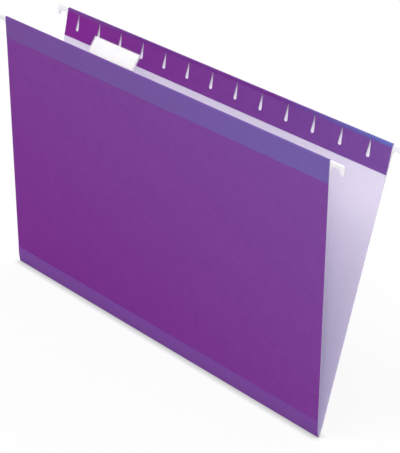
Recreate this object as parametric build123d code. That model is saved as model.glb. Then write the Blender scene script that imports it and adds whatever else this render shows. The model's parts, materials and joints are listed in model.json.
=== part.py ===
from build123d import *
import os
from math import asin, atan2, cos, degrees, hypot, radians, sin, tan

# Hanging file folder, legal size. X runs along the folder, Y from front to back, Z up. The origin is at the
# middle of the bottom crease, at its lowest line. Millimetres and degrees.

# Card sheet
sheet_width = 374.65
panel_height = 238.1
card = 0.3
lean = 8.2
crease_radius = 0.4
crease_tail = 0.3
score_height = 8.0
score_turn = 5.0
score_radius = 3.0

# Top hem and its slots
hem_gap = 1.2
hem_depth = 24.5
glue_thickness = 0.1
glue_height = 4.0
glue_side_margin = 3.0
slot_pitch = 28.2
slot_row_shift = 2.5
slot_end_room = 15.0
slot_tip_depth = 3.0
slot_foot_depth = 17.2
slot_tip_radius = 0.3
slot_foot_radius = 1.7

# Reinforcing film
film = 0.1
top_film_height = 19.0
bottom_film_height = 15.5

# Steel rods and their coated hooks
rod_thickness = 0.8
rod_height = 3.6
rod_rise = 0.15
coat = 0.3
coat_side_gap = 0.1
hook_reach = 14.0
hook_leg_width = 4.0
hook_leg_depth = 8.8
hook_shoulder_width = 1.3
hook_shoulder_depth = 8.0
hook_notch_radius = 2.5
hook_top_radius = 1.6
hook_leg_radius = 1.1
hook_shoulder_radius = 0.3

# Clear tab and its label
tab_wall = 0.4
tab_width = 55.5
tab_height = 14.9
tab_turn = 37.0
tab_bend_radius = 0.4
tab_bend_depth = 1.5
tab_bend_tail = 0.2
tab_slot_index = 4
tab_bar_top = 1.8
tab_bar_bottom = 6.0
tab_leg_width = 5.0
tab_leg_bottom = 10.5
tab_leg_radius = 2.0
stud_depth = 7.0
stud_neck_radius = 0.5
stud_head_clearance = 0.2
stud_head_thickness = 0.4
stud_head_gap = 0.15
label_thickness = 0.2
label_clearance = 0.15
label_side_margin = 1.2

# Places that follow from the sizes above, in a leaf that stands upright with the crease's axis at the origin
crease_outer = crease_radius + card + film
half_width = sheet_width / 2
stud_head_radius = slot_foot_radius - stud_head_clearance
slot_count = 2 * int((half_width - slot_row_shift - slot_end_room) / slot_pitch) + 1
strip_end = (
    -crease_radius * cos(radians(score_turn)) - score_height * sin(radians(score_turn)),
    -crease_radius * sin(radians(score_turn)) + score_height * cos(radians(score_turn)),
)
score_centre = (
    strip_end[0] + score_radius * cos(radians(score_turn)),
    strip_end[1] + score_radius * sin(radians(score_turn)),
)
panel_inner = score_centre[0] - score_radius
leaf_top = panel_height - crease_outer
fold_radius = hem_gap / 2
fold_centre = (panel_inner + fold_radius, leaf_top - film - card - fold_radius)
fold_top = fold_radius + card + film
glued = panel_inner + glue_thickness
glue_top = leaf_top - hem_depth + glue_height
glue_reach = (glued - fold_centre[0], glue_top - fold_centre[1])
flap_turn = degrees(atan2(-glue_reach[0], -glue_reach[1]) + asin(fold_radius / hypot(*glue_reach)))
rod_top = fold_centre[1] + rod_rise
rod_bottom = rod_top - rod_height
tab_centre = (tab_slot_index - (slot_count - 1) / 2) * slot_pitch + slot_row_shift
label_gap = label_thickness + 2 * label_clearance


def turned(point, angle):
    """A point of the Y-Z plane turned about the origin, so that what stands upright leans to -Y."""
    y, z = point
    a = radians(angle)
    return (y * cos(a) - z * sin(a), y * sin(a) + z * cos(a))


def on_flap(reach, rise):
    """A point given by its reach from the fold's centre, square to the flap, and its rise along the flap."""
    y, z = turned((reach, rise), -flap_turn)
    return (fold_centre[0] + y, fold_centre[1] + z)


tab_axis = on_flap(fold_top + tab_wall + tab_bend_radius, fold_top - tab_bend_depth)


def outline(start, *steps):
    """A closed face in the Y-Z plane. A step is a point to go straight to, or a pair: through, to."""
    edges = []
    here = start
    for step in steps + (start,):
        if isinstance(step[0], tuple):
            through, there = step
            edges.append(ThreePointArc(here, through, there))
        else:
            there = step
            edges.append(Line(here, there))
        here = there
    return make_face(edges)


def along(face, width, middle=0.0):
    """A Y-Z face made into a solid that runs along X."""
    return Pos(middle, 0, 0) * extrude(Plane.YZ * face, amount=width / 2, both=True)


def front(solid):
    """The upright leaf's solid, leaned to the front."""
    return Pos(0, 0, crease_outer) * Rot(lean, 0, 0) * solid


def back(solid):
    """The upright leaf's solid, leaned to the back."""
    return mirror(front(solid), about=Plane.XZ)


def save(solid, name):
    export_step(solid, f"parts/{name}.step")


# Card and film, as layers between two distances from the inner face


def lower_layer(near, far, height):
    """A layer from the crease's tail, round the score, up the panel to a height."""
    def on_strip(depth, rise):
        return turned((-crease_radius - depth, rise), score_turn)

    def on_score(depth, angle):
        reach = score_radius + depth
        return (score_centre[0] - reach * cos(radians(angle)), score_centre[1] - reach * sin(radians(angle)))

    return outline(
        on_strip(near, crease_tail),
        on_strip(near, score_height),
        (on_score(near, score_turn / 2), on_score(near, 0)),
        (panel_inner - near, height),
        (panel_inner - far, height),
        on_score(far, 0),
        (on_score(far, score_turn / 2), on_strip(far, score_height)),
        on_strip(far, crease_tail),
    )


def crease_layer(near, far):
    """A layer round the crease, with a short straight tail at both sides."""
    angle = lean + score_turn

    def side(depth, rise, sign):
        y, z = turned((-crease_radius - depth, rise), angle)
        return (sign * y, z)

    def bottom(depth):
        return (0.0, -crease_radius - depth)

    return outline(
        side(near, crease_tail, 1),
        side(near, 0, 1),
        (bottom(near), side(near, 0, -1)),
        side(near, crease_tail, -1),
        side(far, crease_tail, -1),
        side(far, 0, -1),
        (bottom(far), side(far, 0, 1)),
        side(far, crease_tail, 1),
    )


def fold_arc(depth, forwards):
    """The way over the top fold at a depth from its inner face, from the panel's side or back to it."""
    y, z = fold_centre
    reach = fold_radius + depth
    crown = (y, z + reach)
    return (crown, on_flap(reach, 0)) if forwards else (crown, (y - reach, z))


def top_fold_profile():
    """The card's fold over the rod, from the panel's top to the flap's."""
    return outline(
        (panel_inner - card, fold_centre[1]),
        fold_arc(card, True),
        on_flap(fold_radius, 0),
        fold_arc(0, False),
    )


def hem_profile():
    """The flat flap that comes in to the glue line, and its upright foot."""
    foot = leaf_top - hem_depth
    return outline(
        on_flap(fold_radius + card, 0),
        (glued + card, glue_top - card * tan(radians(flap_turn / 2))),
        (glued + card, foot),
        (glued, foot),
        (glued, glue_top),
        on_flap(fold_radius, 0),
    )


def top_film_profile():
    """The film up the panel's outside, over the fold and down to the tips of the slots."""
    low = leaf_top - top_film_height
    tip = fold_top - slot_tip_depth
    return outline(
        (panel_inner - card - film, low),
        (panel_inner - card - film, fold_centre[1]),
        fold_arc(card + film, True),
        on_flap(fold_top, tip),
        on_flap(fold_radius + card, tip),
        on_flap(fold_radius + card, 0),
        fold_arc(card, False),
        (panel_inner - card, low),
    )


def glue_profile():
    """The glue between the panel and the hem's foot."""
    foot = leaf_top - hem_depth
    low = (panel_inner, foot)
    return Pos(*low) * Rectangle(glue_thickness, glue_height, align=(Align.MIN, Align.MIN))


def slot_row(shift):
    """A cutter for each teardrop slot of a hem: a narrow tip above a wide round foot."""
    tip = Pos(0, leaf_top - slot_tip_depth - slot_tip_radius) * Circle(slot_tip_radius)
    foot = Pos(0, leaf_top - slot_foot_depth + slot_foot_radius) * Circle(slot_foot_radius)
    teardrop = make_hull((tip + foot).edges())
    first = shift - (slot_count - 1) / 2 * slot_pitch
    row = [Pos(first + i * slot_pitch, 0) * teardrop for i in range(slot_count)]
    reach = hem_gap + card
    return [Pos(0, fold_centre[0], 0) * extrude(Plane.XZ * slot, amount=reach, both=True) for slot in row]


def slotted_hem(shift):
    """The hem with its row of slots."""
    return along(hem_profile(), sheet_width) - slot_row(shift)


# Rods and hooks


def rod_outline():
    """The rod seen from the front: a strip that ends in a hook at both sides."""
    shoulder_near = half_width + coat_side_gap + coat
    shoulder_far = half_width + coat_side_gap + hook_shoulder_width - coat
    shoulder_foot = leaf_top - hook_shoulder_depth + coat
    leg_far = half_width + hook_reach - coat
    leg_near = leg_far - hook_leg_width + 2 * coat
    leg_foot = leaf_top - hook_leg_depth + coat
    corners = [
        ((leg_far, rod_top), hook_top_radius),
        ((leg_far, leg_foot), hook_leg_radius),
        ((leg_near, leg_foot), hook_leg_radius),
        ((leg_near, rod_bottom), hook_notch_radius + coat),
        ((shoulder_far, rod_bottom), hook_notch_radius + coat),
        ((shoulder_far, shoulder_foot), hook_shoulder_radius),
        ((shoulder_near, shoulder_foot), hook_shoulder_radius),
        ((shoulder_near, rod_bottom), 0),
    ]
    both = corners + [((-x, z), radius) for (x, z), radius in reversed(corners)]
    points = [point for point, radius in both]
    radii = [radius for point, radius in both]
    return make_face(FilletPolyline(*points, radius=radii, close=True))


def flat_strip(face, thickness):
    """An outline seen from the front made into a plate in the hem's hollow."""
    return Pos(0, fold_centre[0], 0) * extrude(Plane.XZ * face, amount=thickness / 2, both=True)


def rod():
    """The steel strip with its two hooks."""
    return flat_strip(rod_outline(), rod_thickness)


def hook_tip(side):
    """The coat round one hook, from just outside the card's edge."""
    grown = offset(rod_outline(), amount=coat, kind=Kind.ARC)
    reach = 2 * hook_reach
    window = Pos(side * (half_width + coat_side_gap + reach / 2), leaf_top) * Rectangle(reach, reach)
    shell = flat_strip(grown & window, rod_thickness + 2 * coat)
    return shell - rod()


# Clear tab and label


def tab_frame(point):
    """A point of the tab's own upright plane, turned back about the tab's bend."""
    y, z = turned(point, -tab_turn)
    return (tab_axis[0] + y, tab_axis[1] + z)


def tab_base():
    """The clear plate on the flap, with a leg and a keyhole stud at each end."""
    def plate(width, low, high, radius):
        face = Pos(0, (low + high) / 2) * RectangleRounded(width, high - low, radius)
        return Pos(0, fold_top + tab_wall / 2, 0) * extrude(Plane.XZ * face, amount=tab_wall / 2, both=True)

    def pin(radius, start, end):
        return Pos(0, end, fold_top - stud_depth) * extrude(Plane.XZ * Circle(radius), amount=end - start)

    bar_width = 2 * slot_pitch + tab_leg_width
    corner = tab_leg_width / 4
    bar_low = fold_top - tab_bar_bottom
    bar_high = fold_top - tab_bar_top
    riser_height = tab_bar_bottom - tab_bend_depth
    riser_middle = (fold_top + tab_wall / 2, bar_low + riser_height / 2)
    riser = Pos(0, *riser_middle) * Box(tab_width, tab_wall, riser_height)
    base = riser + plate(bar_width, bar_low, bar_high, corner)
    head_end = fold_radius - stud_head_gap
    head_start = head_end - stud_head_thickness
    leg = plate(tab_leg_width, fold_top - tab_leg_bottom, bar_high, tab_leg_radius)
    leg += pin(stud_neck_radius, head_start, fold_top + tab_wall)
    leg += pin(stud_head_radius, head_start, head_end)
    for side in (-1, 1):
        base += Pos(side * slot_pitch, 0, 0) * leg
    return Pos(tab_centre, *fold_centre) * Rot(-flap_turn, 0, 0) * base


def tab_bend():
    """The arc from the base to the window, round the tab's axis, with a short tail on the window's side."""
    near = -tab_bend_radius
    far = near - tab_wall
    y, z = tab_axis

    def on_arc(reach, turn):
        across, rise = turned((reach, 0), -turn)
        return (y + across, z + rise)

    half_turn = (flap_turn + tab_turn) / 2
    face = outline(
        on_arc(near, flap_turn),
        (on_arc(near, half_turn), tab_frame((near, 0))),
        tab_frame((near, tab_bend_tail)),
        tab_frame((far, tab_bend_tail)),
        tab_frame((far, 0)),
        (on_arc(far, half_turn), on_arc(far, flap_turn)),
    )
    return along(face, tab_width, tab_centre)


def tab_window():
    """The flat clear sleeve, folded over at the top and closed along its foot."""
    hollow_front = -tab_bend_radius
    hollow_rear = hollow_front + label_gap
    front_face = hollow_front - tab_wall
    rear = hollow_rear + tab_wall
    middle = (hollow_rear + hollow_front) / 2
    foot = tab_bend_tail
    top = tab_height - label_gap / 2 - tab_wall
    crown_in = tab_frame((middle, top + label_gap / 2))
    crown_out = tab_frame((middle, tab_height))
    shell = outline(
        tab_frame((rear, foot)),
        tab_frame((rear, top)),
        (crown_out, tab_frame((front_face, top))),
        tab_frame((front_face, foot)),
    )
    hollow = outline(
        tab_frame((hollow_rear, foot + tab_wall)),
        tab_frame((hollow_rear, top)),
        (crown_in, tab_frame((hollow_front, top))),
        tab_frame((hollow_front, foot + tab_wall)),
    )
    return along(shell - hollow, tab_width, tab_centre)


def label_insert():
    """The blank card slip in the sleeve."""
    front_face = label_clearance - tab_bend_radius
    rear = front_face + label_thickness
    foot = tab_bend_tail + tab_wall + label_clearance
    top = tab_height - label_gap / 2 - tab_wall
    face = outline(
        tab_frame((rear, foot)),
        tab_frame((rear, top)),
        tab_frame((front_face, top)),
        tab_frame((front_face, foot)),
    )
    return along(face, tab_width - 2 * label_side_margin, tab_centre)


os.makedirs("parts", exist_ok=True)

crease_lift = Pos(0, 0, crease_outer)
save(crease_lift * along(crease_layer(0, card), sheet_width), "crease")
save(crease_lift * along(crease_layer(card, card + film), sheet_width), "crease_film")

leaves = [("front", front, slot_row_shift), ("back", back, -slot_row_shift)]
for leaf, placed, shift in leaves:
    save(placed(along(lower_layer(0, card, fold_centre[1]), sheet_width)), f"{leaf}_panel")
    save(placed(along(top_fold_profile(), sheet_width)), f"{leaf}_top_fold")
    save(placed(slotted_hem(shift)), f"{leaf}_hem")
    save(placed(along(glue_profile(), sheet_width - 2 * glue_side_margin)), f"{leaf}_glue_line")
    save(placed(along(top_film_profile(), sheet_width)), f"{leaf}_top_film")
    lower_film = lower_layer(card, card + film, bottom_film_height - crease_outer)
    save(placed(along(lower_film, sheet_width)), f"{leaf}_bottom_film")
    save(placed(rod()), f"{leaf}_rod")
    save(placed(hook_tip(-1)), f"{leaf}_left_tip")
    save(placed(hook_tip(1)), f"{leaf}_right_tip")

save(front(tab_base()), "tab_base")
save(front(tab_bend()), "tab_bend")
save(front(tab_window()), "tab_window")
save(front(label_insert()), "label_insert")
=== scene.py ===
import json
from math import asin, atan2, cos, hypot, pi, radians, sin, sqrt, tan

import bmesh
import bpy
from mathutils import Matrix, Vector


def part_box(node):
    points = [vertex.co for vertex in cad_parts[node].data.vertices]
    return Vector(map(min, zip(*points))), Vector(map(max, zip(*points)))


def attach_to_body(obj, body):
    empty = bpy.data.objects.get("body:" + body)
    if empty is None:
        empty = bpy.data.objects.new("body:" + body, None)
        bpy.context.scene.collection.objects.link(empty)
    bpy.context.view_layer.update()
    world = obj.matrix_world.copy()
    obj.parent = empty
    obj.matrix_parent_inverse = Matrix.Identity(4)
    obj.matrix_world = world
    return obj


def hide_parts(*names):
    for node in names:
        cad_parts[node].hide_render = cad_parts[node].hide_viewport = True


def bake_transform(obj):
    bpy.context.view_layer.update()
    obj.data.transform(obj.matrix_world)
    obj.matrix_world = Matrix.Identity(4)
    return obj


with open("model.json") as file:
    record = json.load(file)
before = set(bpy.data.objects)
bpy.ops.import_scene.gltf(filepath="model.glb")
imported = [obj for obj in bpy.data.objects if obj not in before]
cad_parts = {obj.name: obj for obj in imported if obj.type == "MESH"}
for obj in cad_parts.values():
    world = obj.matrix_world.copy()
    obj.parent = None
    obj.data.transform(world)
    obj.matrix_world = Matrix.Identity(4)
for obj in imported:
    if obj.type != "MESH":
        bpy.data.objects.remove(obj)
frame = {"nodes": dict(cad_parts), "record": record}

bl_info = {
    "name": "Hanging File Folder",
    "version": (1, 0, 0),
    "blender": (4, 5, 0),
    "location": "View3D > Sidebar > Folder",
    "description": "Dresses a hanging file folder's frame with card, film, hooks, a clear tab and a label",
    "category": "Object",
}

# X runs along the folder, Y from front to back, Z up. Metres and radians.

MM = 0.001
LEAVES = (("front", 1), ("back", -1))
LIGHTS = ("key", "fill", "back")
WHITE = (1.0, 1.0, 1.0, 1.0)

# Steps along curves, and points round a slot
ARC_STEPS = 14
CORNER_STEPS = 8
EDGE_STEPS = 5
SLOT_POINTS = 44

# Flat stretch beside an arc, gap that is welded shut, least radius of a corner
SUPPORT = 0.25 * MM
WELD = 0.001 * MM
LEAST_BEND = 0.02 * MM

# Angles from which edges stay crisp or are bevelled, and below which faces count as one
CRISP = radians(28.0)
CRISP_ROUNDED = radians(40.0)
BEVELLED = radians(50.0)
FLAT = radians(1.0)

# Share of a face's normal from which it is turned to the folder's inside
INWARD = 0.3

# Distances that the camera sees from and to
CLIP_START = 0.01
CLIP_END = 100.0

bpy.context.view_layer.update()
panel_low, panel_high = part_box("front_panel")
rest_axis = frame["record"]["mounts"][0]["axis"]


def length(name, description, default):
    """A size in metres that a user may change."""
    return bpy.props.FloatProperty(
        name=name, description=description, default=default, min=0.0, precision=5, unit="LENGTH"
    )


def angle(name, description, default):
    """An angle that a user may change."""
    return bpy.props.FloatProperty(name=name, description=description, default=default, unit="ROTATION")


def amount(name, description, default):
    """A plain number that a user may change."""
    return bpy.props.FloatProperty(name=name, description=description, default=default, min=0.0)


def count(name, description, default, least):
    """A whole number that a user may change."""
    return bpy.props.IntProperty(name=name, description=description, default=default, min=least)


def location(name, description, *default):
    """A place that a user may change."""
    return bpy.props.FloatVectorProperty(
        name=name, description=description, default=default, subtype="TRANSLATION", size=3
    )


def screen_colour(red, green, blue):
    """A colour as a screen shows it, 0 to 255, on the renderer's linear scale."""
    shares = [channel / 255 for channel in (red, green, blue)]
    return tuple(c / 12.92 if c <= 0.04045 else ((c + 0.055) / 1.055) ** 2.4 for c in shares)


def colour(name, description, red, green, blue):
    """A colour that a user may change."""
    return bpy.props.FloatVectorProperty(
        name=name, description=description, default=screen_colour(red, green, blue),
        subtype="COLOR", size=3, min=0.0, max=1.0,
    )


class FolderSizes(bpy.types.PropertyGroup):
    """Sizes of the card, the film, the hooks, the tab and the label."""

    sheet_width: length("Sheet width", "Card from side to side", panel_high.x - panel_low.x)
    panel_height: length("Panel height", "Leaf from the crease to the top fold", 238.1 * MM)
    card: length("Card", "Thickness of the card", 0.3 * MM)
    film: length("Film", "Thickness of the reinforcing film", 0.1 * MM)
    lean: angle("Lean", "Lean of each leaf from upright", atan2(rest_axis[1], -rest_axis[2]))
    crease_radius: length("Crease radius", "Inner radius of the bottom crease", 0.4 * MM)
    crease_tail: length("Crease tail", "Straight end of the crease at each leaf", 0.3 * MM)
    score_height: length("Score height", "Score line above the crease", 8.0 * MM)
    score_turn: angle("Score turn", "Turn of the card at the score line", radians(5.0))
    score_radius: length("Score radius", "Inner radius of the score line", 3.0 * MM)

    hem_gap: length("Hem gap", "Hollow of the top hem", 1.2 * MM)
    hem_depth: length("Hem depth", "Hem from the top fold to its foot", 24.5 * MM)
    glue_thickness: length("Glue thickness", "Glue between the hem's foot and the panel", 0.1 * MM)
    glue_height: length("Glue height", "Height of the hem's glued foot", 4.0 * MM)
    slot_count: count("Slots", "Slots in each hem", 13, least=1)
    slot_pitch: length("Slot pitch", "Distance between slots", 28.2 * MM)
    slot_row_shift: length("Slot row shift", "Row's middle from the sheet's middle", 2.5 * MM)
    slot_tip_depth: length("Slot tip depth", "Slot's upper end below the top edge", 3.0 * MM)
    slot_foot_depth: length("Slot foot depth", "Slot's lower end below the top edge", 17.2 * MM)
    slot_tip_radius: length("Slot tip radius", "Radius of the slot's narrow end", 0.3 * MM)
    slot_foot_radius: length("Slot foot radius", "Radius of the slot's wide end", 1.7 * MM)
    top_film_height: length("Top film height", "Film down from the top edge", 19.0 * MM)
    bottom_film_height: length("Bottom film height", "Film up from the crease", 15.5 * MM)

    rod_thickness: length("Rod thickness", "Thickness of the steel rod", 0.8 * MM)
    rod_height: length("Rod height", "Height of the steel rod", 3.6 * MM)
    rod_rise: length("Rod rise", "Rod's upper edge above the fold's centre", 0.15 * MM)
    coat: length("Coat", "Thickness of the hooks' white coat", 0.3 * MM)
    coat_side_gap: length("Coat side gap", "Bare rod between card and coat", 0.1 * MM)
    hook_reach: length("Hook reach", "Hook beyond the card's side", 14.0 * MM)
    hook_leg_width: length("Hook leg width", "Width of the hook's outer leg", 4.0 * MM)
    hook_leg_depth: length("Hook leg depth", "Outer leg's foot below the top edge", 8.8 * MM)
    hook_shoulder_width: length("Hook shoulder width", "Width of the hook's inner leg", 1.3 * MM)
    hook_shoulder_depth: length("Hook shoulder depth", "Inner leg's foot below the top edge", 8.0 * MM)
    hook_notch_radius: length("Hook notch radius", "Corners of the rail notch", 2.5 * MM)
    hook_top_radius: length("Hook top radius", "Rod's upper outer corner", 1.6 * MM)
    hook_leg_radius: length("Hook leg radius", "Rod's corners at the outer leg's foot", 1.1 * MM)
    hook_shoulder_radius: length("Hook shoulder radius", "Rod's corners at the inner leg's foot", 0.3 * MM)
    hook_edge_radius: length("Hook edge radius", "Roundness of the dipped coat's edges", 0.5 * MM)

    tab_wall: length("Tab wall", "Thickness of the clear plastic", 0.4 * MM)
    tab_width: length("Tab width", "Clear tab from side to side", 55.5 * MM)
    tab_height: length("Tab height", "Clear tab above its bend", 14.9 * MM)
    tab_turn: angle("Tab turn", "Lean of the tab towards the folder's inside", radians(37.0))
    tab_bend_radius: length("Tab bend radius", "Inner radius of the tab's bend", 0.4 * MM)
    tab_bend_depth: length("Tab bend depth", "Tab's bend below the top edge", 1.5 * MM)
    tab_bend_tail: length("Tab bend tail", "Straight end of the bend at the window", 0.2 * MM)
    tab_slot_index: count("Tab slot", "Slot, counted from the left, that the tab is over", 4, least=0)
    tab_edge_radius: length("Tab edge radius", "Roundness of the clear plastic's edges", 0.08 * MM)
    label_thickness: length("Label thickness", "Thickness of the label's card", 0.2 * MM)
    label_clearance: length("Label clearance", "Room round the label", 0.15 * MM)
    label_side_margin: length("Label side margin", "Clear plastic beside the label", 1.2 * MM)


class FolderColours(bpy.types.PropertyGroup):
    """Colours of the folder's finishes."""

    # The outer face goes from its purple at the lower left to a painted bluish sheen at the upper right.
    card_outside: colour("Card outside", "Dyed outer face, at its lower left", 131, 41, 148)
    card_outside_painted_sheen: colour("Card outside, far", "Dyed outer face, at its upper right", 130, 79, 161)
    card_outside_deep: colour("Card outside, deep", "Darker fibres of the outer face", 104, 41, 128)
    # The hems' face is a lit copy of the outer face, with a painted bluish sheen that grows to the right end.
    card_flap: colour("Card flap", "Dyed face of the hems, at its left end", 138, 36, 147)
    card_flap_painted_sheen: colour("Card flap, right", "Dyed face of the hems, at its right end", 126, 87, 163)
    card_inside: colour("Card inside", "Pale inner face of the card", 232, 226, 240)
    # Painted shade: the inner face darker and bluer towards the crease.
    card_inside_painted_shade: colour("Card inside, low", "Pale inner face, at the crease", 217, 209, 241)
    # Painted light: the inner face paler inside the hems, where the slots show it in shade.
    card_inside_painted_light: colour("Kept card", "Inner face that the hems keep from light and hands", 250, 248, 251)
    card_inside_deep: colour("Card inside, deep", "Darker fibres of the inner face", 215, 206, 234)
    card_cut: colour("Cut card", "Cut edges of the card, undyed", 232, 226, 242)
    card_rubbed: colour("Rubbed card", "Fibres that show where an edge is rubbed", 160, 112, 180)
    # The top, lip and foot films are lit copies of one film, each with a painted sheen that grows to the
    # right end.
    top_film: colour("Top film", "Film over the top edges, at its left end", 112, 61, 149)
    top_film_painted_sheen: colour("Top film, right", "Film over the top edges, at its right end", 111, 92, 167)
    # Painted reflection: the film inside the top edges turns bluer towards the right end.
    lip_film: colour("Film lip", "Film inside the top edges, at its left end", 116, 52, 141)
    lip_film_painted_reflection: colour("Film lip, right", "Film inside the top edges, at its right end", 96, 116, 190)
    # The foot film's lit copy, with a painted sheen that grows to the right end.
    foot_film: colour("Foot film", "Film along the crease, at its left end", 119, 47, 155)
    foot_film_painted_sheen: colour("Foot film, right", "Film along the crease, at its right end", 121, 59, 154)
    film_deep: colour("Film, deep", "Darker streaks of the film", 101, 63, 146)
    hook_coat: colour("Hook coat", "Dipped coat of the hooks", 246, 245, 247)
    hook_coat_deep: colour("Hook coat, deep", "Thinner coat", 240, 238, 242)
    steel: colour("Steel", "Rolled steel of the rods", 178, 178, 182)
    clear_plastic: colour("Clear plastic", "Clear tab", 245, 241, 246)
    label: colour("Label", "Blank label card", 248, 250, 248)
    label_deep: colour("Label, deep", "Darker fibres of the label", 238, 238, 236)
    glue: colour("Glue", "Dried glue", 222, 211, 190)
    glue_deep: colour("Glue, deep", "Thicker glue", 205, 190, 164)
    floor: colour("Floor", "Studio floor, in the light that it throws back", 206, 205, 207)
    floor_seen: colour("Floor as seen", "Studio floor, as the camera sees it", 252, 252, 253)


class FolderStage(bpy.types.PropertyGroup):
    """Camera and light."""

    camera_place: location("Camera place", "Where the camera stands", 0.88184, -0.87174, 0.62847)
    camera_turn: angle("Camera turn", "Camera's turn round the folder", radians(44.17))
    camera_tilt: angle("Camera tilt", "Camera's look down from level", radians(22.75))
    camera_roll: angle("Camera roll", "Camera's roll about its own line of sight", radians(6.636))
    camera_lens: amount("Camera lens", "Focal length in millimetres", 130.84)
    floor_half_width: length("Floor half width", "Floor from the middle to its edge", 8.0)
    floor_gap: length("Floor gap", "Floor below the folder", 0.05 * MM)
    floor_whiteness: amount("Floor whiteness", "Share of plain white in the floor as seen", 0.88)
    contact_reach: length("Contact reach", "Reach of the thin shadow at the folder's foot", 8.0 * MM)
    # Painted contact shadow: the dimmest the floor's plain white goes next to the folder.
    contact_level: amount("Contact level", "Floor's white where only the folder is in reach", 0.2)
    horizon_level: amount("Horizon level", "Light from the surround at eye height", 0.3)
    zenith_level: amount("Zenith level", "Light from the surround overhead", 0.42)
    light_aim: location("Light aim", "Place that the soft lights face", 0.0, 0.0, 0.12)
    key_place: location("Key place", "Soft light high at the front left", -0.31, -1.16, 1.96)
    key_width: length("Key width", "Width of the light at the front left", 1.6)
    key_power: amount("Key power", "Light at the front left, in watts", 27.0)
    fill_place: location("Fill place", "Soft light at the front right", 1.62, -1.45, 1.15)
    fill_width: length("Fill width", "Width of the light at the front right", 1.2)
    fill_power: amount("Fill power", "Light at the front right, in watts", 20.5)
    back_place: location("Back place", "Soft light low behind", -0.9, 2.0, 0.9)
    back_width: length("Back width", "Width of the light behind", 1.6)
    back_power: amount("Back power", "Light behind, in watts", 27.0)


# Places that follow from the sizes


def turned(point, turn):
    """A point of the Y-Z plane turned about the origin, so that what stands upright leans to -Y."""
    y, z = point
    return (y * cos(turn) - z * sin(turn), y * sin(turn) + z * cos(turn))


def arc(centre, radius, start, end, steps=ARC_STEPS):
    """Points of an arc in the Y-Z plane, from one angle to the other."""
    points = []
    for step in range(steps + 1):
        here = start + (end - start) * step / steps
        points.append((centre[0] + radius * cos(here), centre[1] + radius * sin(here)))
    return points


class LeafShape:
    """Lines and places of a leaf upright in the Y-Z plane, with the crease's axis at the origin."""

    def __init__(self, sizes):
        self.sizes = sizes
        self.half_width = sizes.sheet_width / 2
        self.crease_outer = sizes.crease_radius + sizes.card + sizes.film
        strip_y, strip_z = turned((-sizes.crease_radius, sizes.score_height), sizes.score_turn)
        self.score_centre = (
            strip_y + sizes.score_radius * cos(sizes.score_turn),
            strip_z + sizes.score_radius * sin(sizes.score_turn),
        )
        self.panel_inner = self.score_centre[0] - sizes.score_radius
        self.top = sizes.panel_height - self.crease_outer
        self.fold_radius = sizes.hem_gap / 2
        self.fold_centre = (
            self.panel_inner + self.fold_radius,
            self.top - sizes.film - sizes.card - self.fold_radius,
        )
        self.fold_top = self.fold_radius + sizes.card + sizes.film
        self.glued = self.panel_inner + sizes.glue_thickness
        self.glue_top = self.top - sizes.hem_depth + sizes.glue_height
        glue_reach = (self.glued - self.fold_centre[0], self.glue_top - self.fold_centre[1])
        slant = hypot(*glue_reach)
        self.flap_turn = atan2(-glue_reach[0], -glue_reach[1]) + asin(self.fold_radius / slant)
        self.flap_length = sqrt(slant**2 - self.fold_radius**2)
        tab_step = sizes.tab_slot_index - (sizes.slot_count - 1) / 2
        self.tab_middle = tab_step * sizes.slot_pitch + sizes.slot_row_shift
        self.tab_axis = self.on_flap(
            self.fold_top + sizes.tab_wall + sizes.tab_bend_radius, self.fold_top - sizes.tab_bend_depth
        )
        self.label_gap = sizes.label_thickness + 2 * sizes.label_clearance
        self.tab_crown = sizes.tab_height - self.label_gap / 2 - sizes.tab_wall

    def on_flap(self, reach, rise):
        """A point given by its reach out of the tilted flap and its rise along it, from the fold's centre."""
        y, z = turned((reach, rise), -self.flap_turn)
        return (self.fold_centre[0] + y, self.fold_centre[1] + z)

    def lower_line(self, depth, height):
        """From the crease's tail, round the score and up the panel, at a depth from the card's inner face."""
        sizes = self.sizes
        reach = sizes.score_radius + depth
        rises = (sizes.crease_tail, sizes.score_height - SUPPORT)
        line = [turned((-sizes.crease_radius - depth, rise), sizes.score_turn) for rise in rises]
        line += arc(self.score_centre, reach, pi + sizes.score_turn, pi)
        line.append((self.panel_inner - depth, self.score_centre[1] + SUPPORT))
        line.append((self.panel_inner - depth, height))
        return line

    def fold_line(self, depth):
        """Over the top fold, from the panel's side to the flap's, with a short flat end at each side."""
        reach = self.fold_radius + depth
        line = [(self.panel_inner - depth, self.fold_centre[1] - SUPPORT)]
        line += arc(self.fold_centre, reach, pi, -self.flap_turn, 2 * ARC_STEPS)
        line.append(self.on_flap(reach, -SUPPORT))
        return line

    def hem_foot_line(self, depth):
        """From the flap's foot down the glued edge."""
        face = self.glued + depth
        return [
            self.on_flap(self.fold_radius + depth, SUPPORT - self.flap_length),
            (face, self.glue_top - depth * tan(self.flap_turn / 2)),
            (face, self.top - self.sizes.hem_depth),
        ]

    def crease_line(self, depth):
        """From the crease's lowest point to its tail at the front leaf, in the row frame less its height."""
        sizes = self.sizes
        side = sizes.lean + sizes.score_turn
        line = arc((0.0, 0.0), sizes.crease_radius + depth, 1.5 * pi, pi + side)
        line.append(turned((-sizes.crease_radius - depth, sizes.crease_tail), side))
        return line

    def in_tab(self, point):
        """A point of the tab's own upright plane, turned back about the tab's bend."""
        y, z = turned(point, -self.sizes.tab_turn)
        return (self.tab_axis[0] + y, self.tab_axis[1] + z)

    def placing(self, side):
        """The matrix that leans the leaf to the front, side 1, or to the back, side -1."""
        leaned = Matrix.Translation((0, 0, self.crease_outer)) @ Matrix.Rotation(self.sizes.lean, 4, "X")
        return Matrix.Diagonal((1, side, 1, 1)) @ leaned


# Node trees


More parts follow.
